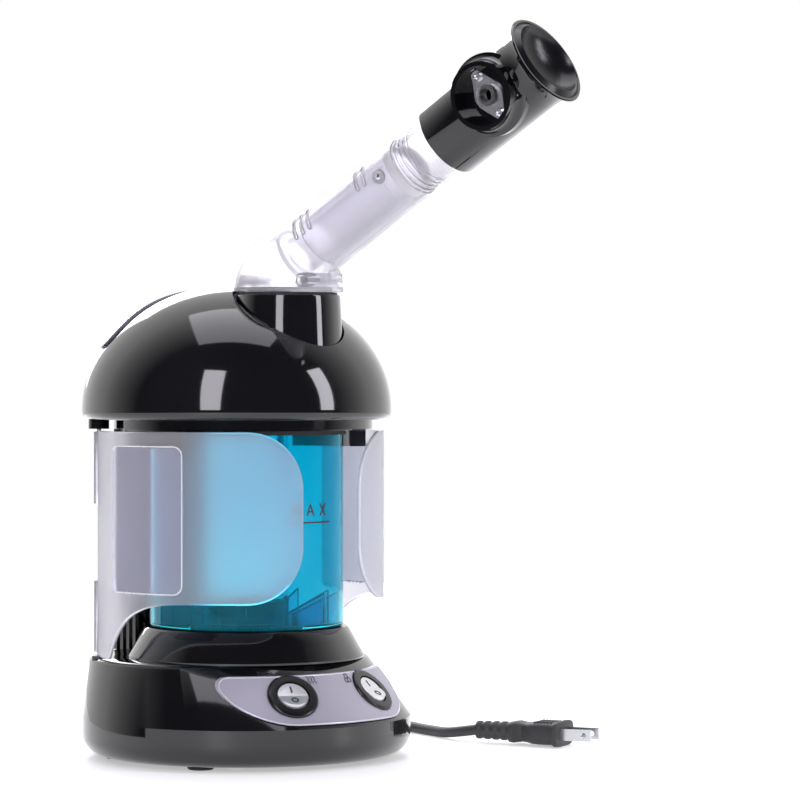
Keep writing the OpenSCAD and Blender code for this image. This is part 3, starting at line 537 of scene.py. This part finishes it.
def subdivide_line(points, step):
    """Adds points so that a long stroke can follow a curved wall."""
    out = [points[0]]
    for a, b in zip(points, points[1:]):
        count = max(1, math.ceil(math.hypot(b[0] - a[0], b[1] - a[1]) / step))
        out += [(a[0] + (b[0] - a[0]) * k / count, a[1] + (b[1] - a[1]) * k / count)
                for k in range(1, count + 1)]
    return out


def fill_marks():
    """The highest-fill line and its word on the front of the tank."""
    radius = TANK_R + 0.00003
    line_z = SEAT_TOP + 0.0567
    tall, wide, pitch = 0.0062, 0.0046, 0.0092

    def place(x, y, lift):
        turn = x / radius
        r = radius + lift
        return Vector((r * math.sin(turn), -r * math.cos(turn), line_z + y))

    word = []
    shapes = ([(0, 0), (0, 1), (0.5, 0.25), (1, 1), (1, 0)], [(0, 0), (0.5, 1), (1, 0)], [(0, 0), (1, 1)])
    for i, shape in enumerate(shapes):
        x0 = (i - 1) * pitch - wide / 2
        word.append([(x0 + wide * x, 0.0035 + tall * y) for x, y in shape])
    word.append([(-wide / 2 + wide * 0.2, 0.0035 + tall * 0.35), (wide / 2 - wide * 0.2, 0.0035 + tall * 0.35)])
    word.append([(pitch - wide / 2, 0.0035 + tall), (pitch + wide / 2, 0.0035)])
    letters = strokes("max_word", [subdivide_line(w, 0.002) for w in word], 0.0009, place)
    line = strokes("max_line", [subdivide_line([(-0.0155, 0), (0.0155, 0)], 0.002)], 0.0009, place)
    for mark in (letters, line):
        dress(mark, "mark_dark", "base")


def rocker_marks():
    """The on bar and off ring on each rocker."""
    for joint_name, body in (("steam_switch", "steam_rocker"), ("ozone_switch", "ozone_rocker")):
        axis, pivot = joint_axis(joint_name), joint_place(joint_name)
        low, high = (Vector(c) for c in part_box(body))
        bearing = math.atan2(pivot.x, -pivot.y)
        flat = Vector((math.sin(bearing), -math.cos(bearing), 0))
        lean = math.radians(SWITCH_LEAN)
        normal = flat * math.cos(lean) + Vector((0, 0, 1)) * math.sin(lean)
        up = normal.cross(axis).normalized()
        if up.z < 0:
            up.negate()
        tip = math.radians(-8.0)
        turn = Matrix.Rotation(tip, 3, axis)
        for kind, line, half in (("bar", [(0, 0.0018), (0, 0.0056)], math.radians(8)),
                                 ("ring", circle_line(0, -0.0038, 0.0016), math.radians(-8))):
            def place(x, y, lift, half=half, turn=turn, pivot=pivot, normal=normal, up=up, axis=axis):
                height = ROCKER_FACE + math.tan(abs(half)) * abs(y)
                return pivot + turn @ (axis * x + up * y + normal * (height + lift - 0.00003))
            mark = strokes(f"{body}_{kind}", [line], 0.0009, place)
            dress(mark, "mark_grey", body)


SWITCH_LEAN = 43.0
ROCKER_FACE = 0.0024


def on_panel(x, z, lift=0.0):
    """A point of the control panel seen from the front, raised a little off it."""
    panel = frame["nodes"]["control_panel"]
    to_panel = panel.matrix_world.inverted()
    start, way = to_panel @ Vector((x, -0.2, z)), to_panel.to_3x3() @ Vector((0, 1, 0))
    hit, place, normal, _ = panel.ray_cast(start, way.normalized())
    if not hit:
        return None
    return panel.matrix_world @ place + (panel.matrix_world.to_3x3() @ normal).normalized() * lift


def panel_rim():
    """The polished line round the control panel's edge, coloured in a lighter copy of the trim colour as a painted
    highlight.
    """
    low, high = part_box("control_panel")
    half_w, z_low, z_high = high[0], low[2], high[2]
    big, wide, small, inset = z_high - z_low - 0.007, 0.026, 0.007, 0.0005
    line = []
    for start, (cx, cz), (rx, rz) in ((-90, (half_w - wide, z_low + big), (wide, big)),
                                      (0, (half_w - small, z_high - small), (small, small))):
        for k in range(13):
            a = math.radians(start + 90 * k / 12)
            line.append((cx + (rx - inset) * math.cos(a), cz + (rz - inset) * math.sin(a)))
    line += [(-x, z) for x, z in reversed(line)]
    line.append(line[0])
    points = [on_panel(x, z, 0.00005) for x, z in subdivide_line(line, 0.002)]
    rim = sweep("panel_rim", [p for p in points if p], 0.0004, 6)
    dress(rim, "panel_rim_highlight", "base")


def panel_signs():
    """Small pictures by the switches: three wisps of steam, and three linked rings."""
    wisps = [[(x + 0.0005 * math.sin(t * 2.1), t * 0.0007) for t in range(7)] for x in (-0.0018, 0.0, 0.0018)]
    rings = [circle_line(x, y, 0.0011, 16) for x, y in ((-0.0011, 0), (0.0011, 0), (0, 0.0019))]
    for name, lines, (px, pz) in (("steam_sign", wisps, (-0.0125, 0.0435)), ("ozone_sign", rings, (0.0115, 0.0440))):
        def place(x, y, lift, px=px, pz=pz):
            return on_panel(px + x, pz + y, lift + 0.00002)
        dress(strokes(name, lines, 0.00035, place), "mark_grey", "base")


def fin_edges():
    """Dark lines along the tops of the tank's fins."""
    low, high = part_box("tank_fins")
    reach, base_z, top = high[0], low[2], high[2]
    inner = 0.0245
    for i in range(12):
        a = math.radians((i + 0.5) * 30)
        out = Vector((math.cos(a), math.sin(a), 0))
        reach = TANK_R - 0.0030
        path = [out * inner + Vector((0, 0, base_z + 0.0042)), out * reach + Vector((0, 0, base_z + 0.0162)),
                out * reach + Vector((0, 0, base_z + 0.0005))]
        edge = sweep(f"fin_edge_{i}", path, 0.00045, 6)
        dress(edge, "tank_edge", "base")


def tube_boss():
    """The round screw boss near the mouth of the arm's outer tube."""
    foot = HEAD_PLACE - ARM_WAY * (HEAD_PLACE.x / ARM_WAY.x)
    out = (-ARM_SIDE if ARM_SIDE.x > 0 else ARM_SIDE)
    place = facing(foot + ARM_WAY * 0.084 + out * 0.0162, out)
    boss = lathe("tube_boss", [(0.0, 0.0), (0.0038, 0.0), (0.0038, 0.0010), (0.0034, 0.0014), (0.0027, 0.0014),
                               (0.0024, 0.0009), (0.0, 0.0009)], place, 32)
    dress(boss, "clear_arm", "arm")
    screw = lathe("tube_boss_screw", [(0.0, 0.0009), (0.0017, 0.0009), (0.0017, 0.0012), (0.0014, 0.0015),
                                      (0.0, 0.0015)], place, 24)
    dress(screw, "steel", "arm")


# ---------- operators ----------


class SteamerLook(bpy.types.PropertyGroup):
    """Colours and sizes a user would change."""

    black: bpy.props.FloatVectorProperty(name="Housing", description="Colour of the glossy housing",
                                         subtype="COLOR", size=3, default=(0.004, 0.004, 0.005), min=0, max=1)
    silver: bpy.props.FloatVectorProperty(name="Trim", description="Colour of the panel and rear cover",
                                          subtype="COLOR", size=3, default=(0.42, 0.40, 0.48), min=0, max=1)
    tank: bpy.props.FloatVectorProperty(name="Tank", description="Colour of the water tank",
                                        subtype="COLOR", size=3, default=(0.02, 0.70, 0.90), min=0, max=1)
    cord_thickness: bpy.props.FloatProperty(name="Cord", description="Diameter of the mains cord",
                                            subtype="DISTANCE", unit="LENGTH", default=CORD_D, min=0.004, max=0.008)


class SteamerStage(bpy.types.PropertyGroup):
    """Camera and light settings."""

    lens: bpy.props.FloatProperty(name="Lens", description="Focal length of the camera", subtype="DISTANCE_CAMERA",
                                  unit="CAMERA", default=147.6, min=20, max=300)
    key_power: bpy.props.FloatProperty(name="Key light", description="Power of the large side lights",
                                       subtype="POWER", unit="POWER", default=15, min=0, max=500)


def studio_world():
    """A studio that is bright behind the steamer and dim in front of it, so gloss black stays black."""
    world = bpy.data.worlds.new("studio")
    world.use_nodes = True
    tree = world.node_tree
    place = tree.nodes.new("ShaderNodeTexCoord")
    along = tree.nodes.new("ShaderNodeVectorMath")
    along.operation = "DOT_PRODUCT"
    along.inputs[1].default_value = (0.643, 0.766, 0.0)
    ramp = tree.nodes.new("ShaderNodeValToRGB")
    ramp.color_ramp.elements[0].position = 0.40
    ramp.color_ramp.elements[0].color = (0.05, 0.048, 0.06, 1)
    ramp.color_ramp.elements[1].position = 0.72
    ramp.color_ramp.elements[1].color = (1, 1, 1, 1)
    span = tree.nodes.new("ShaderNodeMapRange")
    span.inputs["From Min"].default_value = -1
    tree.links.new(place.outputs["Generated"], along.inputs[0])
    tree.links.new(along.outputs["Value"], span.inputs["Value"])
    tree.links.new(span.outputs["Result"], ramp.inputs["Fac"])
    tree.links.new(ramp.outputs["Color"], tree.nodes["Background"].inputs["Color"])
    return world


class STEAMER_OT_stage(bpy.types.Operator):
    """Sets the camera, the pale floor and the soft studio lights"""

    bl_idname = "steamer.stage"
    bl_label = "Stage"

    def execute(self, context):
        scene = context.scene
        look = scene.steamer_stage
        cam = bpy.data.objects.new("camera", bpy.data.cameras.new("camera"))
        scene.collection.objects.link(cam)
        cam.data.lens = look.lens
        cam.data.sensor_width = 36
        cam.data.clip_end = 20
        away, bearing = 1.760, math.radians(-40)
        cam.location = (away * math.sin(bearing), -away * math.cos(bearing), 0.201)
        cam.rotation_euler = (math.radians(90 - 0.35), 0, math.radians(-40 - 2.68))
        scene.camera = cam
        reach, sides = 1.5, 96
        rim = [(reach * math.cos(2 * math.pi * k / sides), reach * math.sin(2 * math.pi * k / sides), 0)
               for k in range(sides)]
        floor = new_mesh("floor", rim, [tuple(range(sides))], False)
        mat, tree, bsdf = shader("pale_floor")
        vary_colour(tree, bsdf, (0.86, 0.86, 0.87), (0.88, 0.88, 0.89), 2)
        vary_roughness(tree, bsdf, 0.5, 0.6, 8)
        bsdf.inputs["Emission Color"].default_value = (1, 1, 1, 1)
        bsdf.inputs["Emission Strength"].default_value = 0.42
        floor.data.materials.append(mat)
        scene.world = studio_world()
        scene.view_settings.view_transform = "Standard"
        aim = Vector((0, 0, 0.2))
        for name, place, size, share in (("key_left", (-1.5, -0.9, 0.9), (0.5, 1.4), 1.0),
                                         ("key_right", (0.9, -1.6, 0.8), (0.4, 1.3), 0.8),
                                         ("top", (0.1, 0.1, 1.9), (1.3, 1.3), 0.7),
                                         ("rear", (0.9, 1.5, 0.8), (1.0, 1.0), 0.8)):
            lamp = bpy.data.lights.new(name, "AREA")
            lamp.shape = "RECTANGLE"
            lamp.size, lamp.size_y = size
            lamp.energy = look.key_power * share
            lamp.color = (0.95, 0.93, 1.0)
            obj = bpy.data.objects.new(name, lamp)
            obj.location = place
            obj.rotation_euler = (Vector(place) - aim).to_track_quat("Z", "Y").to_euler()
            scene.collection.objects.link(obj)
        return {"FINISHED"}


def coil_line():
    """The wound turns: inwards on the surface, up one layer, and outwards on top."""
    start, turns, per_turn = 60.0, 5.154, 60
    line = []
    for k in range(1, int(turns * per_turn)):
        t = k / per_turn
        radius = COIL_OUTER - CORD_D * min(t, 2.0) + CORD_D * max(0.0, t - 3.1)
        climb = min(1.0, max(0.0, (t - 2.15) / 0.8))
        z = COIL_LOW + CORD_D * (climb * climb * (3 - 2 * climb))
        a = math.radians(start - 360 * t)
        line.append(Vector((COIL_CENTRE[0] + radius * math.cos(a), COIL_CENTRE[1] + radius * math.sin(a), z)))
    return line


class STEAMER_OT_cord(bpy.types.Operator):
    """Makes the mains cord, coiled behind the base, with its plug lying beside the base"""

    bl_idname = "steamer.cord"
    bl_label = "Mains cord"

    def execute(self, context):
        thick = context.scene.steamer_look.cord_thickness
        line = smooth_line(LEAD_POINTS) + coil_line()[2:-2] + smooth_line(TAIL_POINTS)
        length = sum((b - a).length for a, b in zip(line, line[1:]))
        data = bpy.data.curves.new("mains_cord", "CURVE")
        data.dimensions = "3D"
        data.bevel_depth = thick / 2
        data.bevel_resolution = 4
        data.use_fill_caps = True
        spline = data.splines.new("POLY")
        spline.points.add(len(line) - 1)
        for point, place in zip(spline.points, line):
            point.co = (*place, 1)
        spline.use_smooth = True
        cord = bpy.data.objects.new("mains_cord", data)
        context.scene.collection.objects.link(cord)
        dress(cord, "cord_grey", "base")
        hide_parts("cord_lead", "cord_coil", "cord_tail")
        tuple(LEAD_POINTS[0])
        ["plug_blades", "cord_tie"] + plug_pieces()
        return {"FINISHED"}


def plug_pieces():
    """The moulded plug body with its grip ridges and slotted strain relief."""
    place = facing(Vector(TAIL_POINTS[-1]), Vector((math.sin(PLUG_BEARING), -math.cos(PLUG_BEARING), 0)))
    x, y = Vector((0, 0, 1)), Vector((math.cos(PLUG_BEARING), math.sin(PLUG_BEARING), 0))
    outline = [(0.0, 5.2, 5.0), (21.0, 6.4, 5.4), (21.4, 9.4, 5.6), (24.0, 9.9, 5.8), (26.0, 8.2, 5.5),
               (28.5, 7.3, 5.2), (31.5, 8.2, 5.4), (35.0, 10.9, 5.9), (39.0, 11.3, 6.1), (48.3, 11.3, 6.2),
               (48.5, 13.6, 6.6), (49.0, 14.0, 6.9), (51.0, 14.0, 6.9), (51.5, 13.6, 6.6)]
    stations = []
    for (a, wa, ta), (b, wb, tb) in zip(outline, outline[1:]):
        if a == 0.0:
            for k in range(21):
                f = k / 21
                ridge = 0.55 if (k % 5) in (3, 4) and 2 < k < 20 else 0.0
                stations.append((f * 21.0, 5.2 + 1.2 * f - ridge, 5.0 + 0.4 * f - ridge))
        else:
            stations.append((a, wa, ta))
    stations.append(outline[-1])
    base, way = Vector(TAIL_POINTS[-1]), Vector((math.sin(PLUG_BEARING), -math.cos(PLUG_BEARING), 0))
    verts, faces, sides = [], [], 32
    for d, w, t in stations:
        power = 2.0 if d < 21.2 else 4.5
        for k in range(sides):
            a = 2 * math.pi * k / sides
            c, s = math.cos(a), math.sin(a)
            px = math.copysign(abs(c) ** (2 / power), c) * w
            pz = math.copysign(abs(s) ** (2 / power), s) * t
            verts.append(base + (way * d + y * px + x * pz) * MM)
    for i in range(len(stations) - 1):
        for k in range(sides):
            a, b = i * sides + k, i * sides + (k + 1) % sides
            faces.append((a, b, b + sides, a + sides))
    faces += [list(range(sides)), [(len(stations) - 1) * sides + k for k in range(sides)]]
    body = bevelled(outward(new_mesh("plug_moulding", verts, faces)), 0.0003)
    dress(body, "cord_grey", "base")
    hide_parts("plug_body")
    ridges = []
    for k in range(6):
        d = 36.5 + k * 1.9
        a = base + (way * d + y * -7.5 + x * 6.0) * MM
        b = base + (way * d + y * 7.5 + x * 6.0) * MM
        ridge = sweep(f"plug_grip_{k}", [a.lerp(b, j / 6) for j in range(7)], 0.00055, 8)
        ridges.append(dress(ridge, "cord_grey", "base"))
    return [body] + ridges


class STEAMER_OT_housing(bpy.types.Operator):
    """Gives every carried-over part its finish"""

    bl_idname = "steamer.housing"
    bl_label = "Housing finishes"

    def execute(self, context):
        slots = {row["node"]: row["material_slot"] for row in frame["record"]["subparts"]}
        special = {"head_end_cap": "satin_black", "rear_column": "gloss_black",
                   "steam_switch_housing": "satin_black", "ozone_switch_housing": "satin_black"}
        for node, obj in frame["nodes"].items():
            smooth_shading(obj)
            mat = finish(special.get(node, slots[node]))
            if not obj.material_slots:
                obj.data.materials.append(mat)
            for place in obj.material_slots:
                place.material = mat
        return {"FINISHED"}


class STEAMER_OT_doors(bpy.types.Operator):
    """Makes the two frosted shields with their clear windows and hinge knuckles"""

    bl_idname = "steamer.doors"
    bl_label = "Shields"

    def execute(self, context):
        for side, body in ((-1, "left_door"), (1, "right_door")):
            door = door_shell(side)
            dress(door, "frosted_door", body)
            door.data.materials.append(finish("door_window"))
            # the third finish paints the shield's edges as a highlight
            door.data.materials.append(finish("door_edge_highlight"))
            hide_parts(body)
            dress(door_bead(side), "door_edge_highlight", body)
            dress(door_knuckles(side), "frosted_door", body)
        return {"FINISHED"}


class STEAMER_OT_marks(bpy.types.Operator):
    """Adds the fill mark, the switch marks, the painted highlight line round the panel and the fine moulded lines"""

    bl_idname = "steamer.marks"
    bl_label = "Marks"

    def execute(self, context):
        fill_marks()
        rocker_marks()
        panel_rim()
        panel_signs()
        fin_edges()
        tube_boss()
        return {"FINISHED"}


class STEAMER_PT_panel(bpy.types.Panel):
    """Lists the steps that build the steamer"""

    bl_label = "Facial Steamer"
    bl_space_type = "VIEW_3D"
    bl_region_type = "UI"
    bl_category = "Steamer"

    def draw(self, context):
        layout = self.layout
        for name in ("black", "silver", "tank", "cord_thickness"):
            layout.prop(context.scene.steamer_look, name)
        for name in ("lens", "key_power"):
            layout.prop(context.scene.steamer_stage, name)
        for step in STEPS:
            layout.operator(step.bl_idname)


STEPS = (STEAMER_OT_stage, STEAMER_OT_cord, STEAMER_OT_housing, STEAMER_OT_doors, STEAMER_OT_marks)
CLASSES = (SteamerLook, SteamerStage) + STEPS + (STEAMER_PT_panel,)


def register():
    """Registers the classes and their scene properties."""
    for cls in CLASSES:
        bpy.utils.register_class(cls)
    bpy.types.Scene.steamer_look = bpy.props.PointerProperty(type=SteamerLook)
    bpy.types.Scene.steamer_stage = bpy.props.PointerProperty(type=SteamerStage)


def unregister():
    """Removes the classes and their scene properties."""
    del bpy.types.Scene.steamer_stage
    del bpy.types.Scene.steamer_look
    for cls in reversed(CLASSES):
        bpy.utils.unregister_class(cls)


def main():
    """Builds the steamer."""
    register()
    bpy.ops.steamer.stage()
    bpy.ops.steamer.cord()
    bpy.ops.steamer.housing()
    bpy.ops.steamer.doors()
    bpy.ops.steamer.marks()
    bpy.context.view_layer.update()


if __name__ == "__main__":
    main()
